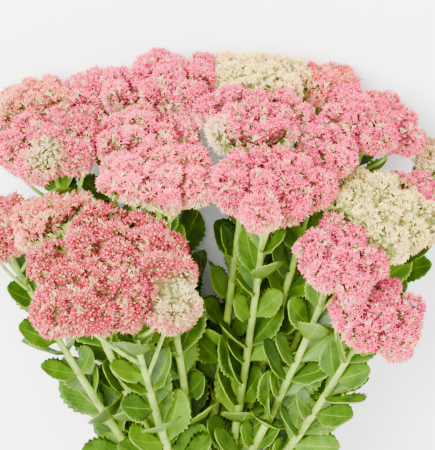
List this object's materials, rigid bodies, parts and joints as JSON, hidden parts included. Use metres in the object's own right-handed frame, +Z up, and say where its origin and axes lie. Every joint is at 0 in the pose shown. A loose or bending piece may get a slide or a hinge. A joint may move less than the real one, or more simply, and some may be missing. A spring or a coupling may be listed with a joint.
{
  "type": "sedum autumn joy",
  "caption": "Lifted clump of a fleshy border perennial lying on its side: leafy stems fanning from a woody crown to flat, domed pink and cream flower heads.",
  "frame": {"origin": "centre of the footprint on the surface that the clump lies on", "axes": "+Y from the crown towards the flower heads, +Z up from the surface, +X to the right of someone looking down on it with the heads away"},
  "size_m": [0.491, 0.557, 0.2922],
  "materials": {
    "rose": "matte petals",
    "pink": "matte petals",
    "deep_pink": "matte petals",
    "magenta_pink": "matte petals",
    "light_pink": "matte petals",
    "salmon": "matte petals",
    "peach": "matte petals",
    "cream_pink": "matte petals",
    "cream": "matte petals",
    "leaf": "matte, fleshy",
    "root": "rough, woody"
  },
  "bodies": {
    "root": {"crown": "root", "head_center": "pink", "head_center_left": "light_pink", "head_cream_right": "cream", "head_far_right": "cream_pink", "head_front_center": "deep_pink", "head_front_left": "rose", "head_front_right": "pink", "head_left_inner": "peach", "head_left_low": "rose", "head_left_mid": "magenta_pink", "head_left_top": "peach", "head_mid_left": "light_pink", "head_right_edge": "pink", "head_right_low": "pink", "head_right_mid": "pink", "head_right_shoulder": "deep_pink", "head_top_cream": "cream", "head_top_left": "deep_pink", "head_top_pink": "pink", "head_top_right": "salmon", "leafy_stem_center": "leaf", "leafy_stem_center_left": "leaf", "leafy_stem_cream_right": "leaf", "leafy_stem_far_right": "leaf", "leafy_stem_front_center": "leaf", "leafy_stem_front_left": "leaf", "leafy_stem_front_right": "leaf", "leafy_stem_left_inner": "leaf", "leafy_stem_left_low": "leaf", "leafy_stem_left_mid": "leaf", "leafy_stem_left_top": "leaf", "leafy_stem_mid_left": "leaf", "leafy_stem_right_edge": "leaf", "leafy_stem_right_low": "leaf", "leafy_stem_right_mid": "leaf", "leafy_stem_right_shoulder": "leaf", "leafy_stem_top_cream": "leaf", "leafy_stem_top_left": "leaf", "leafy_stem_top_pink": "leaf", "leafy_stem_top_right": "leaf"}
  },
  "joints": []
}
